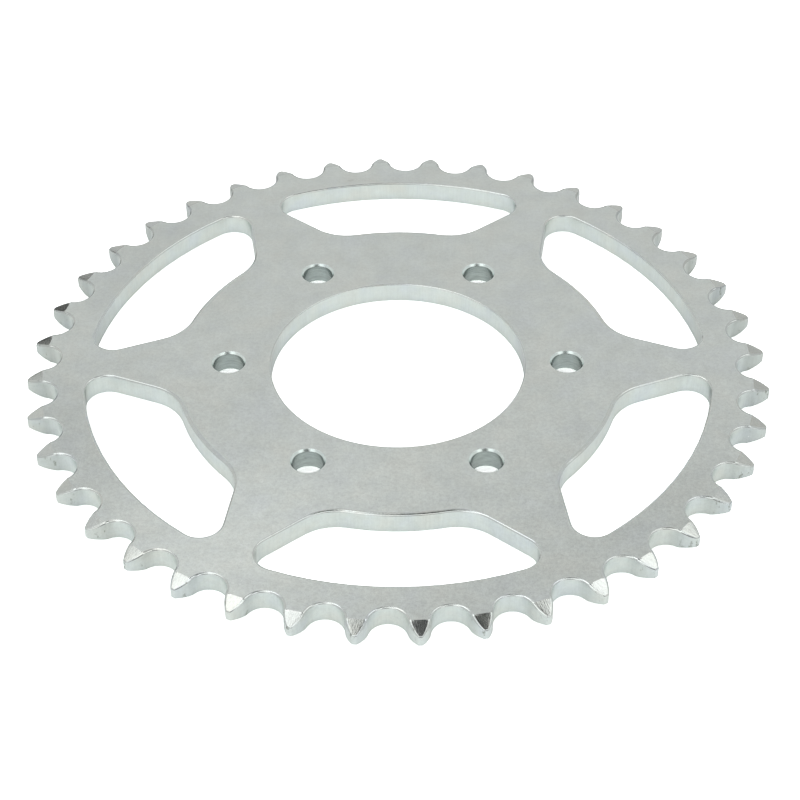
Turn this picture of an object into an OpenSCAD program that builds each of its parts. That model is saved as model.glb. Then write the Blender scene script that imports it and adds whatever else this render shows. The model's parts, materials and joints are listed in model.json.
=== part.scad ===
// Rear chain sprocket of a motorcycle: one flat steel plate, toothed for a
// 520 roller chain, with a pilot bore, a ring of countersunk bolt holes,
// and lightening windows between the arms that carry its rim.
// Millimetres. The origin is the centre of the bore on the hub face, +Z is
// the wheel's axis and +X runs through one bolt hole.

/* [Chain] */
// number of teeth
teeth = 40; // [36:1:52]
// distance from one chain pin to the next
chain_pitch = 15.875; // [14.5:0.025:19.05]
// diameter of the chain's rollers
roller_d = 10.16; // [8.4:0.02:12.2]
// play between a roller and its seat, on the radius
seat_clearance = 0.03; // [0:0.01:0.2]

/* [Teeth] */
// how far the tooth tips stand out past the pitch circle
tip_rise = 3.65; // [2.8:0.05:4.4]
// radius of the rounded flank between a seat and a tooth tip
flank_r = 10.6; // [8.8:0.2:13]
// angle from the bottom of a seat to the start of the flank
seat_half_angle = 75; // [62:1:80]
// how far in from the tips the bevel of each face starts
bevel_reach = 4.6; // [2:0.1:6]
// how deep that bevel cuts into the face at the tips
bevel_depth = 1.5; // [0.5:0.1:1.9]
// turn of the nearest tooth from the bolt hole on +X
tooth_turn = 3.25; // [-4.5:0.25:4.5]

/* [Plate] */
// thickness of the plate
plate_t = 6; // [4:0.1:8]
// diameter of the pilot bore
bore_d = 72; // [56:0.5:88]
// width of the hub ring, from the bore to the windows
hub_w = 26.9; // [22:0.1:32]
// width of the rim, from the windows to the roller seats
rim_w = 7.65; // [6:0.05:10]

/* [Bolt holes] */
// number of bolt holes, each in line with an arm
bolts = 6; // [4:1:6]
// distance from the bore's wall to the bolt circle
bolt_inset = 12; // [9:0.1:16]
// diameter of a bolt hole, for M8 bolts
bolt_hole_d = 8.5; // [5:0.1:11]
// countersink on the outer face, as wide as it is deep
countersink = 0.6; // [0.2:0.1:1.5]

/* [Windows] */
// width of an arm where its flanks leave the hub
arm_hub_w = 25.8; // [20:0.2:31]
// width of an arm where its flanks meet the rim
arm_rim_w = 5.8; // [4:0.2:12]
// radius of the window corners at the rim
rim_corner_r = 5.9; // [3:0.1:7.4]
// radius of the window corners at the hub
hub_corner_r = 13.7; // [6:0.1:16.6]

/* [Hidden] */
$fn = 180;
zinc = [0.72, 0.75, 0.73];
// how far a cutting shape runs past the edge that it cuts
past = 1;
// how far an arc overlaps what it touches, so that no sliver stays between
lap = 0.002;

half_tooth_angle = 180 / teeth;
pitch_r = chain_pitch / 2 / sin(half_tooth_angle);
seat_r = roller_d / 2 + seat_clearance;
tip_r = pitch_r + tip_rise;
bore_r = bore_d / 2;
bolt_circle_r = bore_r + bolt_inset;

// the windows run between two circles
window_in_r = bore_r + hub_w;
window_out_r = pitch_r - seat_r - rim_w;
window_h = window_out_r - window_in_r;
rim_corner = min(rim_corner_r, window_h / 4);
hub_corner = min(hub_corner_r, window_h * 0.6);

// an arm's flank is a straight line: its slant to the arm's own axis, its
// direction seen from the middle of the window, and how far it passes from
// the plate's centre
half_arm_angle = 180 / bolts;
arm_slant = atan((arm_hub_w - arm_rim_w) / 2 / window_h);
flank_dir = half_arm_angle + arm_slant;
flank_off = (arm_hub_w / 2 + window_in_r * tan(arm_slant)) * cos(arm_slant);

// point at a radius and an angle
function polar(r, a) = [r * cos(a), r * sin(a)];

// the same point below the X axis
function below(p) = [p.x, -p.y];

// point given by its way along the arm's flank and its distance beside it
function by_flank(along, beside) =
    polar(along, flank_dir) + polar(flank_off + beside, flank_dir - 90);

// way along the flank to where a point beside it lies at radius r
function along_at(r, beside) = sqrt(pow(r, 2) - pow(flank_off + beside, 2));

// one tooth gap on +X: a round roller seat on the pitch circle, and a mouth
// between the convex flanks of the two teeth beside it
module tooth_gap() {
    start = polar(seat_r, 180 - seat_half_angle);
    inside = polar(seat_r + flank_r / 3, 180 - seat_half_angle);
    centre = polar(seat_r + flank_r, 180 - seat_half_angle);
    mouth = polar(tip_r + past, half_tooth_angle) - [pitch_r, 0];
    translate([pitch_r, 0]) {
        circle(r = seat_r);
        difference() {
            polygon([
                [0, 0],
                start,
                inside,
                mouth,
                below(mouth),
                below(inside),
                below(start)
            ]);
            translate(centre)
                circle(r = flank_r + lap);
            translate(below(centre))
                circle(r = flank_r + lap);
        }
    }
}

// the metal left in a window's corner of radius r: the corner's arc touches
// the flank and the circle of radius edge_r, and out is 1 at the rim, -1 at
// the hub
module corner(r, edge_r, out) {
    centre_r = edge_r - out * r;
    along = along_at(centre_r, r);
    centre = by_flank(along, r);
    cut_r = edge_r + out * past;
    difference() {
        polygon([
            centre,
            by_flank(along, -past),
            polar(cut_r + out * past, half_arm_angle),
            centre * cut_r / centre_r
        ]);
        translate(centre)
            circle(r = r + lap);
    }
}

// one lightening window on +X, between two arms
module window() {
    far_r = window_out_r + past;
    side = by_flank(along_at(far_r, 0), 0);
    difference() {
        intersection() {
            circle(r = window_out_r);
            polygon([
                [flank_off / sin(flank_dir), 0],
                side,
                [far_r * 2, 0],
                below(side)
            ]);
        }
        circle(r = window_in_r);
        for (flip = [0, 1])
            mirror([0, flip]) {
                corner(rim_corner, window_out_r, 1);
                corner(hub_corner, window_in_r, -1);
            }
    }
}

// the round plate, bevelled on both faces towards the tooth tips
module blank() {
    rotate_extrude()
        polygon([
            [0, 0],
            [tip_r - bevel_reach, 0],
            [tip_r, bevel_depth],
            [tip_r, plate_t - bevel_depth],
            [tip_r - bevel_reach, plate_t],
            [0, plate_t]
        ]);
}

// a prism of its children through the whole plate
module through() {
    translate([0, 0, -past])
        linear_extrude(plate_t + 2 * past)
            children();
}

// a bolt hole, countersunk on the outer face
module bolt_hole() {
    translate([0, 0, -past])
        cylinder(d = bolt_hole_d, h = plate_t + 2 * past);
    translate([0, 0, plate_t - countersink])
        cylinder(
            d1 = bolt_hole_d,
            d2 = bolt_hole_d + 2 * (countersink + past),
            h = countersink + past
        );
}

// the whole sprocket
module sprocket() {
    color(zinc)
        difference() {
            blank();
            through()
                for (i = [0:teeth - 1])
                    rotate(tooth_turn + (i + 0.5) * 2 * half_tooth_angle)
                        tooth_gap();
            through()
                for (i = [0:bolts - 1])
                    rotate((i + 0.5) * 2 * half_arm_angle)
                        window();
            translate([0, 0, -past])
                cylinder(r = bore_r, h = plate_t + 2 * past);
            for (i = [0:bolts - 1])
                rotate(i * 2 * half_arm_angle)
                    translate([bolt_circle_r, 0, 0])
                        bolt_hole();
        }
}

sprocket();
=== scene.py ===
import json
from math import atan2, cos, degrees, pi, radians, sin, sqrt, tan

import bmesh
import bpy
from mathutils import Matrix, Vector


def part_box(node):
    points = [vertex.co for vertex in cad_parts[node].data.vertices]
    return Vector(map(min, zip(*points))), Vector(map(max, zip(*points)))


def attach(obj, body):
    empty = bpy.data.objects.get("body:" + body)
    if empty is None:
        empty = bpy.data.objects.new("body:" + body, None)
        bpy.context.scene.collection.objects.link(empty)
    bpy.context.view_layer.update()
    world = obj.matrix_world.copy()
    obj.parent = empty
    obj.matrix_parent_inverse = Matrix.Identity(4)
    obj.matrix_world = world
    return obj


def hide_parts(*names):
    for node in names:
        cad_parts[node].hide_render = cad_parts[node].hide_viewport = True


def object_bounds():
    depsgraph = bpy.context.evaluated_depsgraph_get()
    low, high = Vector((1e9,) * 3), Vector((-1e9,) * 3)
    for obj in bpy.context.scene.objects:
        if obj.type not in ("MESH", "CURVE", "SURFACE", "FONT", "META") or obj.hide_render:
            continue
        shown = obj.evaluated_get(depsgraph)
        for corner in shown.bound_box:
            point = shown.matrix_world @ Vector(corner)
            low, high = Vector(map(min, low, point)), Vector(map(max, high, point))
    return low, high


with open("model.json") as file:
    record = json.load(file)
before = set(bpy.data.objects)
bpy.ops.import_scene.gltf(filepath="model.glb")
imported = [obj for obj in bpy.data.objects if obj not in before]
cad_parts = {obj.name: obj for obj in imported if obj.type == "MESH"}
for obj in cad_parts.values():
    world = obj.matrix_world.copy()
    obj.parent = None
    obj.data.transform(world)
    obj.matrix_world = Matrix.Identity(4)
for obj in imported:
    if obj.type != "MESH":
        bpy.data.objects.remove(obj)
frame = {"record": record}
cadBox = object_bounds()
mm = 0.001  # in metres
print("frame loaded")

# sizes: what the frame says comes from the frame, the rest is here

record = frame["record"]
mounts = {mount["name"]: mount for mount in record["mounts"]}
plateLow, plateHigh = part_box("sprocket")

plate = {  # millimetres and degrees
    "thick": (plateHigh.z - plateLow.z) / mm,
    "teeth": 40,
    "chainPitch": 15.875,
    "seatR": 5.11,            # roller seat, half a 10.16 roller and its play
    "seatHalfAngle": 75,
    "flankR": 10.6,
    "tipRise": 3.65,          # tips past the pitch circle
    "bevelReach": 4.6,
    "bevelDepth": 1.5,
    "firstTooth": 3.25,
    "boreR": mounts["centre_bore"]["dims"]["r_mm"],
    "arms": mounts["bolt_circle"]["dims"]["count"],
    "boltCircleR": mounts["bolt_circle"]["dims"]["pcd_mm"] / 2,
    "boltHoleR": mounts["bolt_circle"]["dims"]["hole_r_mm"],
    "countersink": 0.6,
    "hubW": 26.9,             # from the bore to the windows
    "rimW": 7.65,             # from the windows to the roller seats
    "armHubW": 25.8,          # an arm's width where it leaves the hub, and where it meets the rim
    "armRimW": 5.8,
    "rimCornerR": 5.9,        # the windows' corners
    "hubCornerR": 13.7,
    "seamGap": 3.8,           # plain rim between the roller seats and the circle where both sectors meet
}
edges = {  # millimetres, but flankRoll, hubRoll and tipRoll are shares of the roll's width
    "rollW": 0.62,      # die roll of the punched top edges
    "rollH": 0.42,
    "flankRoll": 1.25,  # wider on the tooth flanks, and wider still round the hub
    "hubRoll": 2.0,
    "tipRoll": 0.6,     # the bevel has cut some of it away at a tooth's tip
    "bottomR": 0.14,
    "tipCornerR": 0.45,
    "leastCornerR": 0.05,
    "boreW": 0.42,
    "boreH": 0.3,
    "holeR": 0.12,
    "along": 9,         # how far out along a face a corner's leg is drawn
    "weld": 0.002,      # points nearer than this become one where the sectors meet
}
steps = {  # segments along each stretch of an outline
    "tip": 2, "corner": 4, "flank": 9, "seat": 11, "seam": 6,
    "rimArc": 6, "rimCorner": 12, "hubCorner": 12, "hubArc": 5, "hole": 48, "round": 6,
}
finishes = {"face": 0, "wall": 1, "bevel": 2, "hole": 3}

halfTooth = 180 / plate["teeth"]
pitchR = plate["chainPitch"] / 2 / sin(radians(halfTooth))
tipR = pitchR + plate["tipRise"]
bevelR = tipR - plate["bevelReach"]
seatBottomR = pitchR - plate["seatR"]
seamR = seatBottomR - plate["seamGap"]
seamStep = 2 * halfTooth / steps["seam"]
windowInR = plate["boreR"] + plate["hubW"]
windowOutR = seatBottomR - plate["rimW"]
halfArm = 180 / plate["arms"]
armSlant = degrees(atan2((plate["armHubW"] - plate["armRimW"]) / 2, windowOutR - windowInR))
flankOff = (plate["armHubW"] / 2 + windowInR * tan(radians(armSlant))) * cos(radians(armSlant))


# plane geometry

def polar(r, a):
    return Vector((r * cos(radians(a)), r * sin(radians(a))))


def angleOf(point):
    return degrees(atan2(point.y, point.x))


def arc(centre, r, start, end, count):
    # the points of an arc after its first one
    return [centre + polar(r, start + (end - start) * i / count) for i in range(1, count + 1)]


def circlesMeet(r, centre, otherR):
    # upper point that lies r from the origin and otherR from the centre
    apart = centre.length
    along = (apart ** 2 + r ** 2 - otherR ** 2) / (2 * apart)
    beside = sqrt(r ** 2 - along ** 2)
    return polar(along, angleOf(centre)) + polar(beside, angleOf(centre) + 90)


def toothHalf(inset):
    # from the middle of a tooth's tip to the middle of the gap above it
    origin = Vector((0, 0))
    gap = polar(pitchR, halfTooth)
    lean = halfTooth - 180 + plate["seatHalfAngle"]
    flankMid = gap + polar(plate["seatR"] + plate["flankR"], lean)
    tipInset, flankInset = inset * edges["tipRoll"], inset * edges["flankRoll"]
    cornerR = max(edges["tipCornerR"] - tipInset, edges["leastCornerR"])
    endR, flankR = plate["flankR"] - tipInset, plate["flankR"] - flankInset
    corner = circlesMeet(tipR - tipInset - cornerR, flankMid, endR - cornerR)
    tipEnd = angleOf(corner)
    cornerEnd = angleOf(corner - flankMid)
    crease = angleOf(circlesMeet(bevelR, flankMid, flankR) - flankMid)
    points = [polar(tipR - tipInset, 0)]
    points += arc(origin, tipR - tipInset, 0, tipEnd, steps["tip"])
    points += arc(corner, cornerR, tipEnd, cornerEnd, steps["corner"])
    for i in range(1, steps["flank"] + 1):
        part = i / steps["flank"]
        r = endR + (flankR - endR) * part
        points.append(flankMid + polar(r, cornerEnd + (crease - cornerEnd) * part))
    points += arc(flankMid, flankR, crease, lean + 180, 1)
    for i in range(1, steps["seat"] + 1):
        part = i / steps["seat"]
        r = plate["seatR"] + flankInset + (inset - flankInset) * part
        points.append(gap + polar(r, lean + (halfTooth - 180 - lean) * part))
    return points


def windowHalf(inset):
    # from the rim to the hub along the flank above an arm on +X
    def besideFlank(along, beside):
        return polar(along, -armSlant) + polar(flankOff + beside, 90 - armSlant)

    def cornerMid(centreR, r):
        return besideFlank(sqrt(centreR ** 2 - (flankOff + r) ** 2), r)

    origin = Vector((0, 0))
    rimR, hubR = plate["rimCornerR"], plate["hubCornerR"]
    rimMid = cornerMid(windowOutR - rimR, rimR)
    hubMid = cornerMid(windowInR + hubR, hubR)
    hubInset = inset * edges["hubRoll"]
    outR, inR = windowOutR + inset, windowInR - hubInset
    rimStart, hubEnd = angleOf(rimMid), angleOf(hubMid)
    points = [polar(outR, halfArm)]
    points += arc(origin, outR, halfArm, rimStart, steps["rimArc"])
    points += arc(rimMid, rimR + inset, rimStart, -90 - armSlant, steps["rimCorner"])
    points += [hubMid + polar(hubR + inset, -90 - armSlant)]
    for i in range(1, steps["hubCorner"] + 1):
        part = i / steps["hubCorner"]
        r = hubR + inset + (hubInset - inset) * part
        points.append(hubMid + polar(r, -90 - armSlant + (hubEnd - 90 + armSlant) * part))
    points += arc(origin, inR, hubEnd, halfArm, steps["hubArc"])
    return points


def mirrored(points):
    return [Vector((p.x, -p.y)) for p in points]


# edge profiles: rows of (inset, height, wear) down a wall, from the top face to the bottom one

def roundedCorner(before, corner, after, r):
    before, corner, after = Vector(before), Vector(corner), Vector(after)
    toBefore = (before - corner).normalized()
    toAfter = (after - corner).normalized()
    half = toBefore.angle(toAfter) / 2
    middle = corner + (toBefore + toAfter).normalized() * r / sin(half)
    start = corner + toBefore * r / tan(half) - middle
    turn = pi - 2 * half
    rows = []
    for i in range(steps["round"] + 1):
        part = i / steps["round"]
        spot = middle + Matrix.Rotation(turn * part, 2) @ start
        rows.append((spot.x, spot.y, sin(pi * part)))
    return rows


def rolledEdge(width, depth):
    # the die roll of a punched top edge: a quarter of an ellipse
    rows = []
    for i in range(steps["round"] + 1):
        turn = pi / 2 * i / steps["round"]
        inset, drop = width * (1 - sin(turn)), depth * (1 - cos(turn))
        rows.append((inset, plate["thick"] - drop, sqrt(max(0, sin(2 * turn)))))
    return rows


def bottomEdge():
    return roundedCorner((0, plate["thick"]), (0, 0), (edges["along"], 0), edges["bottomR"])


def holeProfile():
    high, sink, r = plate["thick"], plate["countersink"], edges["holeR"]
    return (roundedCorner((edges["along"], high), (sink, high), (0, high - sink), r)
            + roundedCorner((sink, high), (0, high - sink), (0, 0), r)
            + bottomEdge())


def bevelHeight(r, height):
    # a height near a face follows that face down its bevel
    down = max(0, r - bevelR) / plate["bevelReach"] * plate["bevelDepth"]
    return height - down if height > plate["thick"] / 2 else height + down


# the two sectors that repeat round the plate

class Sector:
    def __init__(self, name):
        self.name = name
        self.bm = bmesh.new()
        self.finish = self.bm.faces.layers.int.new("finish")
        self.wear = self.bm.verts.layers.float.new("wear")

    def vert(self, point, height, wear=0):
        made = self.bm.verts.new((point.x * mm, point.y * mm, bevelHeight(point.length, height) * mm))
        made[self.wear] = wear
        return made

    def face(self, verts, finish):
        made = self.bm.faces.new(verts)
        made[self.finish] = finishes[finish]
        made.smooth = True

    def rows(self, outline, profile, finish, closed=False):
        # a row of verts for each place of the profile, with quads between them
        made = []
        for inset, height, wear in profile:
            made.append([self.vert(point, height, wear) for point in outline(inset)])
        for a, b in zip(made, made[1:]):
            for i in range(0 if closed else 1, len(a)):
                self.face((a[i - 1], b[i - 1], b[i], a[i]), finish)
        return made

    def done(self):
        mesh = bpy.data.meshes.new(self.name)
        self.bm.to_mesh(mesh)
        self.bm.free()
        return bpy.data.objects.new(self.name, mesh)


def toothSector():
    # one tooth on +X, from the middle of one gap to the middle of the next
    sector = Sector("toothSector")

    def outline(inset):
        half = toothHalf(inset)
        return mirrored(half)[:0:-1] + half

    rows = sector.rows(outline, rolledEdge(edges["rollW"], edges["rollH"]) + bottomEdge(), "wall")
    middle = len(rows[0]) // 2
    tipEnd = steps["tip"]
    crease = tipEnd + steps["corner"] + steps["flank"]
    across = 2 * steps["tip"]
    for row, height in ((rows[0], plate["thick"]), (rows[-1], 0)):
        lines = []
        for j in range(crease, tipEnd, -1):  # lines across the bevelled facet, crease first
            low, high = row[middle - j], row[middle + j]
            end = Vector(high.co.xy) / mm
            between = [polar(end.length, angleOf(end) * (2 * i / across - 1)) for i in range(1, across)]
            lines.append([low] + [sector.vert(point, height) for point in between] + [high])
        lines.append(row[middle - tipEnd:middle + tipEnd + 1])
        for a, b in zip(lines, lines[1:]):
            for i in range(across):
                sector.face((a[i], b[i], b[i + 1], a[i + 1]), "bevel")
        seam = [sector.vert(polar(seamR, halfTooth - seamStep * i), height)
                for i in range(steps["seam"] + 1)]
        sector.face(lines[0] + row[middle + crease + 1:] + seam + row[:middle - crease], "face")
        for a, b in zip(lines[0], lines[0][1:]):
            sector.bm.edges.get((a, b)).smooth = False
    return sector.done()


def armSector():
    # one arm on +X with its bolt hole, from the middle of one window to the middle of the next
    sector = Sector("armSector")
    wall = rolledEdge(edges["rollW"], edges["rollH"]) + bottomEdge()
    boreWall = rolledEdge(edges["boreW"], edges["boreH"]) + bottomEdge()
    seamTurn = (plate["firstTooth"] + halfTooth) % seamStep
    side = round(halfArm / seamStep)
    half = steps["hole"] // 2

    def boreArc(inset):
        return [polar(plate["boreR"] + inset, seamStep * i) for i in range(-side, side + 1)]

    def holeRing(inset):
        middle = Vector((plate["boltCircleR"], 0))
        return [middle + polar(plate["boltHoleR"] + inset, 180 * i / half) for i in range(2 * half)]

    upper = sector.rows(windowHalf, wall, "wall")
    lower = sector.rows(lambda inset: mirrored(windowHalf(inset)), wall, "wall")
    bore = sector.rows(boreArc, boreWall, "wall")
    hole = sector.rows(holeRing, holeProfile(), "hole", closed=True)
    for i, height in ((0, plate["thick"]), (-1, 0)):
        seam = [sector.vert(polar(seamR, seamTurn + seamStep * k), height) for k in range(-side, side + 1)]
        sector.face(seam[side:] + upper[i] + bore[i][:side - 1:-1] + hole[i][half::-1], "face")
        sector.face(seam[side::-1] + lower[i] + bore[i][:side + 1] + hole[i][half:] + hole[i][:1], "face")
    return sector.done()


# geometry nodes: both sectors in rings, joined into one plate

def socket(tree, name, kind, default=None, inOut="INPUT"):
    made = tree.interface.new_socket(name=name, in_out=inOut, socket_type="NodeSocket" + kind)
    if default is not None:
        made.default_value = default
    return made


def node(tree, kind, inputs=None, **settings):
    # a node with its settings, and its inputs as values or as other sockets
    made = tree.nodes.new(kind)
    for name, value in settings.items():
        setattr(made, name, value)
    for key, value in (inputs or {}).items():
        if isinstance(value, bpy.types.NodeSocket):
            tree.links.new(value, made.inputs[key])
        else:
            made.inputs[key].default_value = value
    return made


def calc(tree, operation, a, b=0.0, c=0.0):
    return node(tree, "ShaderNodeMath", {0: a, 1: b, 2: c}, operation=operation).outputs[0]


def ringOf(tree, source, count, first):
    # copies of an object about Z, the first one turned by an angle
    copied = node(tree, "GeometryNodeObjectInfo", {"Object": source}, transform_space="ORIGINAL")
    spots = node(tree, "GeometryNodePoints", {"Count": count})
    index = node(tree, "GeometryNodeInputIndex").outputs[0]
    angle = calc(tree, "MULTIPLY_ADD", index, calc(tree, "DIVIDE", 2 * pi, count), first)
    turn = node(tree, "FunctionNodeAxisAngleToRotation", {"Axis": (0, 0, 1), "Angle": angle})
    return node(tree, "GeometryNodeInstanceOnPoints", {
        "Points": spots.outputs[0], "Instance": copied.outputs["Geometry"],
        "Rotation": turn.outputs[0]}).outputs[0]


def plateTree(materials):
    tree = bpy.data.node_groups.new("plateFromSectors", "GeometryNodeTree")
    socket(tree, "Geometry", "Geometry")
    for name, kind in (("Tooth", "Object"), ("Arm", "Object"), ("Teeth", "Int"), ("Arms", "Int"),
                       ("First Tooth", "Float"), ("Weld Distance", "Float")):
        socket(tree, name, kind)
    for finish in materials:
        socket(tree, finish, "Material")
    socket(tree, "Geometry", "Geometry", inOut="OUTPUT")
    given = node(tree, "NodeGroupInput").outputs
    joined = node(tree, "GeometryNodeJoinGeometry")
    tree.links.new(ringOf(tree, given["Tooth"], given["Teeth"], given["First Tooth"]), joined.inputs[0])
    tree.links.new(ringOf(tree, given["Arm"], given["Arms"], 0.0), joined.inputs[0])
    real = node(tree, "GeometryNodeRealizeInstances", {"Geometry": joined.outputs[0]})
    shape = node(tree, "GeometryNodeMergeByDistance",
                 {"Geometry": real.outputs[0], "Distance": given["Weld Distance"]}).outputs[0]
    finish = node(tree, "GeometryNodeInputNamedAttribute", {"Name": "finish"}, data_type="INT").outputs[0]
    for name in materials:
        chosen = node(tree, "FunctionNodeCompare", {"A": finish, "B": finishes[name]},
                      data_type="INT", operation="EQUAL")
        shape = node(tree, "GeometryNodeSetMaterial", {
            "Geometry": shape, "Selection": chosen.outputs[0], "Material": given[name]}).outputs[0]
    node(tree, "NodeGroupOutput", {"Geometry": shape})
    return tree


def setInputs(modifier, values):
    named = {item.name: item.identifier for item in modifier.node_group.interface.items_tree
             if item.item_type == "SOCKET" and item.in_out == "INPUT"}
    for name, value in values.items():
        modifier[named[name]] = value


def plainMesh(obj):
    # the evaluated mesh in place of the object's own, and no modifiers
    depsgraph = bpy.context.evaluated_depsgraph_get()
    mesh = bpy.data.meshes.new_from_object(
        obj.evaluated_get(depsgraph), preserve_all_data_layers=True, depsgraph=depsgraph)
    obj.modifiers.clear()
    obj.data = mesh


def faceOutwards(mesh):
    bm = bmesh.new()
    bm.from_mesh(mesh)
    bmesh.ops.recalc_face_normals(bm, faces=bm.faces)
    if bm.calc_volume(signed=True) < 0:
        bmesh.ops.reverse_faces(bm, faces=bm.faces)
    bm.to_mesh(mesh)
    bm.free()


def buildPlate(materials):
    tooth, arm = toothSector(), armSector()
    made = bpy.data.objects.new("sprocket_plate", bpy.data.meshes.new("sprocket_plate"))
    bpy.context.scene.collection.objects.link(made)
    rings = made.modifiers.new("rings", "NODES")
    rings.node_group = plateTree(materials)
    setInputs(rings, {"Tooth": tooth, "Arm": arm, "Teeth": plate["teeth"], "Arms": plate["arms"],
                      "First Tooth": radians(plate["firstTooth"]),
                      "Weld Distance": edges["weld"] * mm, **materials})
    plainMesh(made)
    faceOutwards(made.data)
    steady = made.modifiers.new("steadyShading", "WEIGHTED_NORMAL")
    steady.keep_sharp = True
    plainMesh(made)
    for sector in (tooth, arm):
        bpy.data.objects.remove(sector)
    made.data.name = "sprocket_plate"
    return made


# materials: shared effects are node groups, and each finish has its own dictionary

def shaderGroup(name, inputs, outputs):
    tree = bpy.data.node_groups.new(name, "ShaderNodeTree")
    for title, kind, default in inputs:
        socket(tree, title, kind, default)
    for title, kind in outputs:
        socket(tree, title, kind, inOut="OUTPUT")
    return tree, node(tree, "NodeGroupInput").outputs, node(tree, "NodeGroupOutput").inputs


def placed(tree, group, values):
    return node(tree, "ShaderNodeGroup", values, node_tree=group).outputs


def noise(tree, vector, scale, detail=2.0, roughness=0.5):
    return node(tree, "ShaderNodeTexNoise", {"Vector": vector, "Scale": scale, "Detail": detail,
                                             "Roughness": roughness}).outputs["Fac"]


def ranged(tree, value, low, high, toLow=0.0, toHigh=1.0, way="LINEAR"):
    return node(tree, "ShaderNodeMapRange", {
        "Value": value, "From Min": low, "From Max": high, "To Min": toLow, "To Max": toHigh},
        interpolation_type=way).outputs[0]


def blend(tree, factor, a, b, mode="MIX"):
    # 6, 7 and the output 2 are the node's colour sockets
    return node(tree, "ShaderNodeMix", {"Factor": factor, 6: a, 7: b}, data_type="RGBA",
                blend_type=mode).outputs[2]


def dimmed(tree, vector, factor):
    return node(tree, "ShaderNodeVectorMath", {0: vector, "Scale": factor}, operation="SCALE").outputs[0]


def partsOf(tree, vector):
    return node(tree, "ShaderNodeSeparateXYZ", {0: vector}).outputs


def swing(tree, value, amount):
    # a noise turned into a change of tone about zero
    return calc(tree, "MULTIPLY", calc(tree, "SUBTRACT", value, 0.5), amount)


grainMix = {"sharper": 2.7, "sharpShare": 0.45}


def grainGroup():
    # fine pickled grain of the steel under the zinc
    tree, given, out = shaderGroup("platedGrain", [
        ("Vector", "Vector", None), ("Grain Size", "Float", 0.6), ("Contrast", "Float", 1.0)],
        [("Grain", "Float"), ("Height", "Float")])
    scale = calc(tree, "DIVIDE", 1.0, given["Grain Size"])
    coarse = noise(tree, given["Vector"], scale, detail=3, roughness=0.6)
    sharpScale = calc(tree, "MULTIPLY", scale, grainMix["sharper"])
    sharp = noise(tree, given["Vector"], sharpScale, detail=2, roughness=0.5)
    coarsePart = calc(tree, "MULTIPLY", coarse, 1 - grainMix["sharpShare"])
    both = calc(tree, "MULTIPLY_ADD", sharp, grainMix["sharpShare"], coarsePart)
    tree.links.new(swing(tree, both, given["Contrast"]), out["Grain"])
    tree.links.new(both, out["Height"])
    return tree


tintMix = {
    "cool": (0.95, 0.985, 1.02, 1), "plain": (0.98, 1.01, 0.98, 1), "warm": (1.02, 1.01, 0.95, 1),
    "otherPlace": (57, 31, 9), "otherScale": 1.9, "low": 0.3, "high": 0.7,
    "darkest": 0.965, "lightest": 1.035,
}


def tintGroup():
    # slow drift of the clear passivation between a cool and a warm cast
    tree, given, out = shaderGroup("passivationTint", [
        ("Vector", "Vector", None), ("Patch Size", "Float", 24.0), ("Strength", "Float", 0.5),
        ("Color", "Color", None)], [("Color", "Color"), ("Drift", "Float")])
    scale = calc(tree, "DIVIDE", 1.0, given["Patch Size"])
    drift = noise(tree, given["Vector"], scale, detail=3, roughness=0.55)
    elsewhere = node(tree, "ShaderNodeVectorMath", {0: given["Vector"], 1: tintMix["otherPlace"]})
    otherScale = calc(tree, "MULTIPLY", scale, tintMix["otherScale"])
    other = noise(tree, elsewhere.outputs[0], otherScale, detail=2, roughness=0.5)
    cast = node(tree, "ShaderNodeValToRGB", {"Fac": ranged(tree, drift, tintMix["low"], tintMix["high"])})
    stops = cast.color_ramp.elements
    stops[0].color = tintMix["cool"]
    stops[1].color = tintMix["warm"]
    middle = stops.new(0.5)
    middle.color = tintMix["plain"]
    shade = ranged(tree, other, tintMix["low"], tintMix["high"], tintMix["darkest"], tintMix["lightest"])
    castColour = blend(tree, 1.0, given["Color"], cast.outputs[0], "MULTIPLY")
    toned = blend(tree, given["Strength"], given["Color"], castColour)
    tree.links.new(dimmed(tree, toned, shade), out["Color"])
    tree.links.new(drift, out["Drift"])
    return tree


wearMix = {"low": 0.35, "high": 0.65, "least": 0.5}


def wearGroup():
    # tumbled edges: the mesh's own edge mark, broken up
    tree, given, out = shaderGroup("edgeWear", [
        ("Vector", "Vector", None), ("Patch Size", "Float", 1.1)], [("Mask", "Float")])
    mark = node(tree, "ShaderNodeAttribute", attribute_name="wear").outputs["Fac"]
    scale = calc(tree, "DIVIDE", 1.0, given["Patch Size"])
    patches = noise(tree, given["Vector"], scale, detail=3, roughness=0.6)
    broken = ranged(tree, patches, wearMix["low"], wearMix["high"], wearMix["least"], 1.0)
    tree.links.new(calc(tree, "MULTIPLY", mark, broken), out["Mask"])
    return tree


def speckGroup():
    # tiny nicks: a share of the cells has a dot at its middle
    tree, given, out = shaderGroup("nicks", [
        ("Vector", "Vector", None), ("Spacing", "Float", 16.0), ("Radius", "Float", 0.3),
        ("Share", "Float", 0.3)], [("Mask", "Float")])
    scale = calc(tree, "DIVIDE", 1.0, given["Spacing"])
    cells = node(tree, "ShaderNodeTexVoronoi", {"Vector": given["Vector"], "Scale": scale})
    apart = calc(tree, "MULTIPLY", cells.outputs["Distance"], given["Spacing"])
    dot = calc(tree, "LESS_THAN", apart, given["Radius"])
    chance = node(tree, "ShaderNodeSeparateColor", {0: cells.outputs["Color"]}).outputs[0]
    picked = calc(tree, "LESS_THAN", chance, given["Share"])
    tree.links.new(calc(tree, "MULTIPLY", dot, picked), out["Mask"])
    return tree


def millimetres(tree):
    return dimmed(tree, node(tree, "ShaderNodeTexCoord").outputs["Object"], 1 / mm)


def stretched(tree, vector, scale):
    return node(tree, "ShaderNodeVectorMath", {0: vector, 1: scale}, operation="MULTIPLY").outputs[0]


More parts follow.
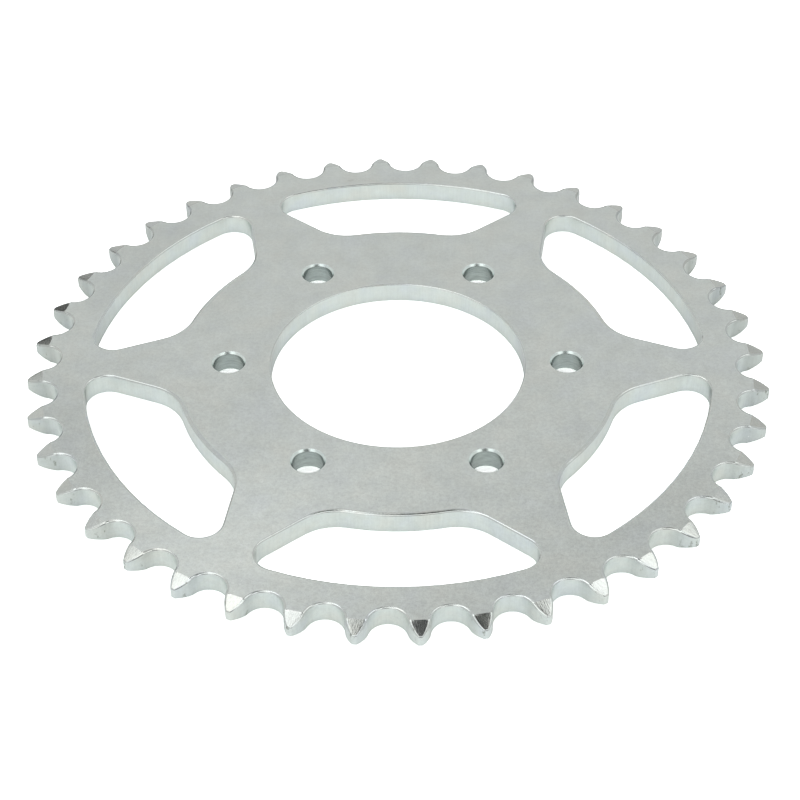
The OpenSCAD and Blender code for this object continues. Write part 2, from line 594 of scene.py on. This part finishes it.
def reachOf(tree, vector):
    # how far from the plate's axis
    flat = stretched(tree, vector, (1, 1, 0))
    return node(tree, "ShaderNodeVectorMath", {0: flat}, operation="LENGTH").outputs["Value"]


finishMix = {
    "nearY": -60, "farY": 60, "farGrain": 0.5,  # the grain fades along Y
    "leastRough": 0.08,
}


def finishMaterial(name, look, groups, marks):
    # the last argument is a function that gives this finish's own tool marks, with painted shade and
    # highlight for walls and holes: tone, height and a stain mask
    material = bpy.data.materials.new(name)
    material.use_nodes = True
    tree = material.node_tree
    shader = tree.nodes["Principled BSDF"]
    vector = millimetres(tree)
    contrast = ranged(tree, partsOf(tree, vector)["Y"], finishMix["nearY"], finishMix["farY"],
                      look["grainContrast"], look["grainContrast"] * finishMix["farGrain"])
    grain = placed(tree, groups["grain"], {
        "Vector": vector, "Grain Size": look["grainSize"], "Contrast": contrast})
    tint = placed(tree, groups["tint"], {
        "Vector": vector, "Patch Size": look["patchSize"], "Strength": look["tint"],
        "Color": (*look["colour"], 1)})
    wear = placed(tree, groups["wear"], {"Vector": vector, "Patch Size": look["wearPatch"]})["Mask"]
    nick = placed(tree, groups["nicks"], {
        "Vector": vector, "Spacing": look["nickSpacing"], "Radius": look["nickRadius"]})["Mask"]
    markTone, markHeight, stain = marks(tree, vector)
    tone = calc(tree, "ADD", calc(tree, "ADD", 1.0, grain["Grain"]), markTone)
    shaded = dimmed(tree, tint["Color"], tone)
    bare = calc(tree, "MAXIMUM", calc(tree, "MULTIPLY", wear, look["wear"]), nick)
    bright = blend(tree, bare, shaded, (*look["edgeColour"], 1))
    tree.links.new(blend(tree, stain, bright, (*look["stainColour"], 1)), shader.inputs["Base Color"])
    rough = calc(tree, "MULTIPLY_ADD", grain["Grain"], look["roughGrain"], look["rough"])
    drifted = calc(tree, "ADD", swing(tree, tint["Drift"], look["roughDrift"]), rough)
    worn = calc(tree, "MULTIPLY_ADD", wear, -look["wearPolish"], drifted)
    tree.links.new(calc(tree, "MAXIMUM", worn, finishMix["leastRough"]), shader.inputs["Roughness"])
    shader.inputs["Metallic"].default_value = 1.0
    height = calc(tree, "MULTIPLY_ADD", grain["Height"], look["grainHeight"], markHeight)
    bump = node(tree, "ShaderNodeBump", {"Height": height, "Strength": 1.0, "Distance": mm})
    tree.links.new(bump.outputs[0], shader.inputs["Normal"])
    return material


faceLook = {
    "colour": (0.775, 0.812, 0.787), "edgeColour": (0.86, 0.88, 0.87), "stainColour": (0.3, 0.31, 0.27),
    "rough": 0.36, "roughGrain": 0.4, "roughDrift": 0.12, "tint": 0.4, "patchSize": 13.0,
    "grainSize": 0.9, "grainContrast": 0.75, "grainHeight": 0.04,
    "wear": 0.3, "wearPolish": 0.22, "wearPatch": 1.1, "nickSpacing": 19.0, "nickRadius": 0.24,
    "lineScale": (1.6, 0.05, 0.05), "lineTone": 0.06, "lineHeight": 0.002,
    "spotScale": 0.16, "spotLow": 0.74, "spotHigh": 0.8, "spotShare": 0.25,
    "patches": [  # name, x, y, radius, change of tone
        ("brightNearLeft", -46, -72, 44, 0.15),
        ("brightHubNear", -12, -50, 34, 0.06),
        ("dullLeft", -92, -34, 46, -0.12),
        ("dullFarLeft", -78, 52, 50, -0.07),
        ("dullNearRight", 70, -66, 56, -0.11),
        ("dullNear", 22, -100, 40, -0.08),
    ],
}


def broadPatch(tree, vector, place, radius, tone):
    # a wide soft patch that makes the face brighter or duller about a given place
    apart = node(tree, "ShaderNodeVectorMath", {0: vector, 1: place}, operation="DISTANCE").outputs["Value"]
    return ranged(tree, apart, 0, radius, tone, 0, "SMOOTHSTEP")


def faceMarks(tree, vector):
    # faint rolling lines of the strip along Y, wide soft brighter and duller patches, and rare dull spots
    lines = noise(tree, stretched(tree, vector, faceLook["lineScale"]), 1.0, detail=3, roughness=0.6)
    spots = noise(tree, vector, faceLook["spotScale"], detail=2, roughness=0.5)
    tone = swing(tree, lines, faceLook["lineTone"])
    for name, x, y, radius, amount in faceLook["patches"]:
        patch = broadPatch(tree, vector, (x, y, plate["thick"]), radius, amount)
        patch.node.label = name
        tone = calc(tree, "ADD", tone, patch)
    stain = ranged(tree, spots, faceLook["spotLow"], faceLook["spotHigh"], 0.0, faceLook["spotShare"])
    return tone, calc(tree, "MULTIPLY", lines, faceLook["lineHeight"]), stain


wallLook = {
    "colour": (0.755, 0.79, 0.775), "edgeColour": (0.84, 0.87, 0.86), "stainColour": (0.16, 0.18, 0.13),
    "rough": 0.32, "roughGrain": 0.3, "roughDrift": 0.1, "tint": 0.7, "patchSize": 9.0,
    "grainSize": 1.3, "grainContrast": 0.3, "grainHeight": 0.012,
    "wear": 0.12, "wearPolish": 0.24, "wearPatch": 1.6, "nickSpacing": 30.0, "nickRadius": 0.2,
    "streakScale": (1.7, 1.7, 0.12), "streakTone": 0.16, "streakHeight": 0.006,
    # painted shade low on each wall, broken up by noise
    "baseShadeScale": 0.35, "baseShadeWave": 1.4, "baseShadeLow": 1.2, "baseShadeHigh": 2.6, "baseShadeTone": -0.07,
    # painted shade on upright walls by which way they face, set by this line and the next three
    "flankShut": 0.0, "flankOpen": 0.85, "flankShadeTone": -0.22,  # duller where a wall turns from -Y or outward
    "shadeFrom": -0.1, "shadeTo": 0.35, "shadeTone": -0.4,    # dullest where it faces along X
    "backFrom": -0.3, "backTo": -0.7,                         # but not where it faces +Y
    "rollFrom": 0.1, "rollTo": 0.6,                           # nor where the edge rolls over
    # painted shade on the tooth tips, deeper towards +Y
    "tipFrom": 95, "tipTo": 99, "tipNearY": -70, "tipFarY": 40, "tipShadeTone": -0.2,
    "stainFrom": 99.2, "stainTo": 100.6, "stainScale": 0.62, "stainLow": 0.6, "stainHigh": 0.68,
    "stainSquash": (1, 1, 0.55), "stainShare": 0.75,
}


def wallMarks(tree, vector):
    # streaks of the punch, painted shade in a broken band low on the wall, on flanks that turn away and on
    # the far tips, and residue at the tips
    look = wallLook
    streaks = noise(tree, stretched(tree, vector, look["streakScale"]), 1.0, detail=3, roughness=0.6)
    parts = partsOf(tree, vector)
    # painted shade low on the wall, with a wavy upper edge
    wave = noise(tree, vector, look["baseShadeScale"], detail=2, roughness=0.5)
    wavy = calc(tree, "MULTIPLY_ADD", wave, look["baseShadeWave"], parts["Z"])
    band = ranged(tree, wavy, look["baseShadeLow"], look["baseShadeHigh"], look["baseShadeTone"], 0.0)
    reach = reachOf(tree, vector)
    outward = node(tree, "ShaderNodeVectorMath", {0: stretched(tree, vector, (1, 1, 0))},
                   operation="NORMALIZE").outputs[0]
    facing = node(tree, "ShaderNodeTexCoord").outputs["Normal"]
    normal = partsOf(tree, facing)
    tilted = calc(tree, "ABSOLUTE", normal["Z"])
    upright = ranged(tree, tilted, look["rollFrom"], look["rollTo"], 1.0, 0.0)
    rimOpen = node(tree, "ShaderNodeVectorMath", {0: outward, 1: facing},
                   operation="DOT_PRODUCT").outputs["Value"]
    nearOpen = calc(tree, "MULTIPLY", normal["Y"], -1.0)
    onRim = calc(tree, "GREATER_THAN", reach, (windowOutR + seatBottomR) / 2)
    # painted shade: darker where a wall turns from -Y, or on the rim from outward, and darker still where
    # it faces along X; not on the rolled edges
    opened = calc(tree, "MULTIPLY_ADD", calc(tree, "SUBTRACT", rimOpen, nearOpen), onRim, nearOpen)
    flank = ranged(tree, opened, look["flankShut"], look["flankOpen"], look["flankShadeTone"], 0.0)
    shade = ranged(tree, nearOpen, look["shadeFrom"], look["shadeTo"], look["shadeTone"], 0.0)
    sideways = calc(tree, "MULTIPLY", shade, ranged(tree, nearOpen, look["backTo"], look["backFrom"]))
    turned = calc(tree, "MULTIPLY", calc(tree, "ADD", flank, sideways), upright)
    # painted shade on the tooth tips, deeper towards +Y
    farTip = calc(tree, "MULTIPLY", ranged(tree, reach, look["tipFrom"], look["tipTo"]),
                  ranged(tree, parts["Y"], look["tipNearY"], look["tipFarY"], 0.0, look["tipShadeTone"]))
    tone = swing(tree, streaks, look["streakTone"])
    for more in (band, turned, farTip):
        tone = calc(tree, "ADD", tone, more)
    squashed = stretched(tree, vector, look["stainSquash"])
    blots = noise(tree, squashed, look["stainScale"], detail=4, roughness=0.7)
    stain = calc(tree, "MULTIPLY", ranged(tree, reach, look["stainFrom"], look["stainTo"]),
                 ranged(tree, blots, look["stainLow"], look["stainHigh"], 0.0, look["stainShare"]))
    return tone, calc(tree, "MULTIPLY", streaks, look["streakHeight"]), stain


bevelLook = {
    "colour": (0.755, 0.78, 0.75), "edgeColour": (0.88, 0.9, 0.89), "stainColour": (0.2, 0.2, 0.17),
    "rough": 0.14, "roughGrain": 0.3, "roughDrift": 0.08, "tint": 0.5, "patchSize": 12.0,
    "grainSize": 0.7, "grainContrast": 0.35, "grainHeight": 0.012,
    "wear": 0.3, "wearPolish": 0.02, "wearPatch": 0.8, "nickSpacing": 40.0, "nickRadius": 0.15,
    "cutR": 103.0, "cutAcross": 3.6, "cutAlong": 0.7, "cutTone": 0.35, "cutHeight": 0.02, "stainLow": 0.9,
}


def bevelMarks(tree, vector):
    # short cutter marks that run out towards the tip
    parts = partsOf(tree, vector)
    around = calc(tree, "MULTIPLY", calc(tree, "ARCTAN2", parts["Y"], parts["X"]), bevelLook["cutR"])
    across = calc(tree, "MULTIPLY", around, bevelLook["cutAcross"])
    along = calc(tree, "MULTIPLY", reachOf(tree, vector), bevelLook["cutAlong"])
    flat = node(tree, "ShaderNodeCombineXYZ", {0: across, 1: along}).outputs[0]
    cuts = noise(tree, flat, 1.0, detail=3, roughness=0.65)
    return (swing(tree, cuts, bevelLook["cutTone"]), calc(tree, "MULTIPLY", cuts, bevelLook["cutHeight"]),
            ranged(tree, cuts, bevelLook["stainLow"], 1.0))


holeLook = {
    # the colour, darker than the face's, is painted shade inside the hole
    "colour": (0.46, 0.51, 0.495), "edgeColour": (0.92, 0.94, 0.93), "stainColour": (0.12, 0.13, 0.11),
    "rough": 0.24, "roughGrain": 0.2, "roughDrift": 0.05, "tint": 0.4, "patchSize": 6.0,
    "grainSize": 0.7, "grainContrast": 0.25, "grainHeight": 0.008,
    "wear": 0.5, "wearPolish": 0.12, "wearPatch": 0.9, "nickSpacing": 40.0, "nickRadius": 0.15,
    "ringScale": (0.3, 0.3, 2.2), "ringTone": 0.7, "ringHeight": 0.02,
    # painted highlight on the countersink
    "mouthBelow": 0.05, "mouthAbove": 0.1, "sinkHighlightTone": 0.85,
    # painted shade on the sides where the hole turns away from -Y
    "sideFrom": 0.35, "sideTo": 0.9, "sideShadeTone": -0.4,
    "blotScale": 0.9, "blotLow": 0.66, "blotHigh": 0.72, "blotShare": 0.5,
}


def holeMarks(tree, vector):
    # rings of the drill, a painted highlight on the countersink, and painted shade on the sides where the
    # bore turns away
    look = holeLook
    rings = noise(tree, stretched(tree, vector, look["ringScale"]), 1.0, detail=3, roughness=0.65)
    sinkZ = plate["thick"] - plate["countersink"]
    # the countersink, which gets a painted highlight
    mouth = ranged(tree, partsOf(tree, vector)["Z"], sinkZ - look["mouthBelow"], sinkZ + look["mouthAbove"])
    facing = node(tree, "ShaderNodeTexCoord").outputs["Normal"]
    nearOpen = calc(tree, "MULTIPLY", partsOf(tree, facing)["Y"], -1.0)
    # painted shade on the sides where the hole turns away from -Y, but not on the countersink
    turned = ranged(tree, nearOpen, look["sideFrom"], look["sideTo"], look["sideShadeTone"], 0.0)
    side = calc(tree, "MULTIPLY", turned, calc(tree, "SUBTRACT", 1.0, mouth))
    tone = swing(tree, rings, look["ringTone"])
    for more in (calc(tree, "MULTIPLY", mouth, look["sinkHighlightTone"]), side):
        tone = calc(tree, "ADD", tone, more)
    blots = noise(tree, vector, look["blotScale"], detail=3, roughness=0.6)
    stain = ranged(tree, blots, look["blotLow"], look["blotHigh"], 0.0, look["blotShare"])
    return tone, calc(tree, "MULTIPLY", rings, look["ringHeight"]), stain


def makeMaterials():
    groups = {"grain": grainGroup(), "tint": tintGroup(), "wear": wearGroup(), "nicks": speckGroup()}
    return {
        "face": finishMaterial("zincFace", faceLook, groups, faceMarks),
        "wall": finishMaterial("zincPunchedWall", wallLook, groups, wallMarks),
        "bevel": finishMaterial("zincToothBevel", bevelLook, groups, bevelMarks),
        "hole": finishMaterial("zincDrilledHole", holeLook, groups, holeMarks),
    }


# stage, lights and camera

floorLook = {
    "size": 8.0, "gap": 0.0002,  # metres
    "overlit": 2.7,              # what the camera sees, bright enough to be plain white
    "pale": (0.55, 0.56, 0.56), "glowColour": (0.97, 1.0, 0.995, 1), "glow": 0.52,  # what the steel sees
    "litR": 0.13, "dimR": 0.26, "dimShare": 0.5,  # which falls off past the plate, from litR to dimR
}


def makeFloor():
    half = floorLook["size"] / 2
    mesh = bpy.data.meshes.new("floor")
    corners = [(-half, -half), (half, -half), (half, half), (-half, half)]
    mesh.from_pydata([(x, y, cadBox[0].z - floorLook["gap"]) for x, y in corners], [], [(0, 1, 2, 3)])
    made = bpy.data.objects.new("floor", mesh)
    bpy.context.scene.collection.objects.link(made)
    material = bpy.data.materials.new("paleFloor")
    material.use_nodes = True
    tree = material.node_tree
    tree.nodes.remove(tree.nodes["Principled BSDF"])
    seen = node(tree, "ShaderNodeLightPath").outputs["Is Camera Ray"]
    lit = node(tree, "ShaderNodeBsdfDiffuse", {"Color": (floorLook["overlit"],) * 3 + (1,)})
    place = node(tree, "ShaderNodeTexCoord").outputs["Object"]
    away = node(tree, "ShaderNodeVectorMath", {0: place}, operation="LENGTH").outputs["Value"]
    near = ranged(tree, away, floorLook["litR"], floorLook["dimR"], 1.0, floorLook["dimShare"])
    pale = node(tree, "ShaderNodeBsdfDiffuse", {"Color": dimmed(tree, floorLook["pale"], near)})
    strength = calc(tree, "MULTIPLY", near, floorLook["glow"])
    glow = node(tree, "ShaderNodeEmission", {"Color": floorLook["glowColour"], "Strength": strength})
    bounce = node(tree, "ShaderNodeAddShader", {0: pale.outputs[0], 1: glow.outputs[0]})
    mixed = node(tree, "ShaderNodeMixShader", {0: seen, 1: bounce.outputs[0], 2: lit.outputs[0]})
    tree.links.new(mixed.outputs[0], tree.nodes["Material Output"].inputs["Surface"])
    mesh.materials.append(material)


studio = {
    "horizon": 0.68, "wall": 0.64, "ceiling": 0.55,
    "patches": [  # name, azimuth, elevation, radius, soft edge, brightness
        ("softBoxRight", 34, 63, 10, 5, 1.28),
        ("softBoxLeft", 146, 68, 10, 5, 1.3),
        ("gapOverhead", 48, 80.2, 7.5, 3, 0.02),
        ("darkCornerLeft", 118, 17, 5, 6, 0.04),
        ("lowLeft", 108, 5, 5, 9, 0.42),
        ("lowFar", 88, -1, 20, 12, 0.58),
        ("dimCornerRight", 55, 25, 6, 10, 0.5),
        ("fillLeft", -118, 42, 12, 8, 1.1),
        ("fillRight", -45, 42, 12, 8, 1.1),
        ("behindCamera", -78, 42, 13, 5, 0.08),
        ("gapBetween", 80, 68, 3, 5, 0.15),
        ("stripLeft", 112, 64, 4, 3, 2.2),
    ],
}


def makeWorld():
    # the steel sees a pale room with lit and dark patches, and the camera sees white
    world = bpy.data.worlds.new("studio")
    bpy.context.scene.world = world
    world.use_nodes = True
    tree = world.node_tree
    direction = node(tree, "ShaderNodeTexCoord").outputs["Generated"]
    up = node(tree, "ShaderNodeSeparateXYZ", {0: direction}).outputs["Z"]
    ramp = node(tree, "ShaderNodeValToRGB", {"Fac": up})
    stops = ramp.color_ramp.elements
    stops[0].color = (studio["horizon"],) * 3 + (1,)
    stops[1].color = (studio["ceiling"],) * 3 + (1,)
    middle = stops.new(0.5)
    middle.color = (studio["wall"],) * 3 + (1,)
    light = ramp.outputs["Color"]
    for name, azimuth, elevation, radius, soft, bright in studio["patches"]:
        flat = polar(cos(radians(elevation)), azimuth)
        centre = (flat.x, flat.y, sin(radians(elevation)))
        near = node(tree, "ShaderNodeVectorMath", {0: direction, 1: centre}, operation="DOT_PRODUCT")
        inside = ranged(tree, near.outputs["Value"], cos(radians(radius + soft)), cos(radians(radius)),
                        way="SMOOTHSTEP")
        inside.node.label = name
        light = blend(tree, inside, light, (bright,) * 3 + (1,))
    seen = node(tree, "ShaderNodeLightPath").outputs["Is Camera Ray"]
    tree.links.new(blend(tree, seen, light, (1, 1, 1, 1)), tree.nodes["Background"].inputs["Color"])


softBox = {"place": (0, -0.6, 2.2), "size": (1.6, 1.0), "power": 4}  # metres and watts


def makeSoftBox():
    # one wide lamp above, turned to the middle of the plate
    light = bpy.data.lights.new("softBoxHigh", "AREA")
    light.shape = "RECTANGLE"
    light.size, light.size_y = softBox["size"]
    light.energy = softBox["power"]
    made = bpy.data.objects.new("softBoxHigh", light)
    made.location = softBox["place"]
    made.rotation_euler = (-Vector(softBox["place"])).to_track_quat("-Z", "Y").to_euler()
    bpy.context.scene.collection.objects.link(made)


lens = {  # where the top face's centre lies from the lens, and how the camera is held
    "offset": Vector((-0.651, 10.854, 587.06)) * mm,  # right, up, ahead
    "down": 40.649,
    "roll": 0.293,
    "turn": 0.293,
    "focal": 93.06,
    "sensor": 36,
    "clip": (0.01, 50),
}


def makeCamera():
    data = bpy.data.cameras.new("camera")
    data.sensor_width = lens["sensor"]
    data.lens = lens["focal"]
    data.clip_start, data.clip_end = lens["clip"]
    made = bpy.data.objects.new("camera", data)
    bpy.context.scene.collection.objects.link(made)
    held = (Matrix.Rotation(radians(lens["turn"]), 4, "Z")
            @ Matrix.Rotation(radians(90 - lens["down"]), 4, "X")
            @ Matrix.Rotation(radians(-lens["roll"]), 4, "Z"))
    right, up, ahead = lens["offset"]
    target = Vector((0, 0, plateHigh.z))
    made.matrix_world = Matrix.Translation(target) @ held @ Matrix.Translation((-right, -up, ahead))
    bpy.context.scene.camera = made


makeCamera()
print("camera placed", degrees(bpy.context.scene.camera.data.angle), "degrees wide")
makeFloor()
makeWorld()
makeSoftBox()
bpy.context.scene.view_settings.view_transform = "Standard"
print("floor, studio and soft box made:", len(studio["patches"]), "patches of light and shade")

materials = makeMaterials()
print("materials made:", ", ".join(material.name for material in materials.values()))
sprocket = buildPlate(materials)
print("plate built:", len(sprocket.data.polygons), "faces")

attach(sprocket, "root")
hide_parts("sprocket")
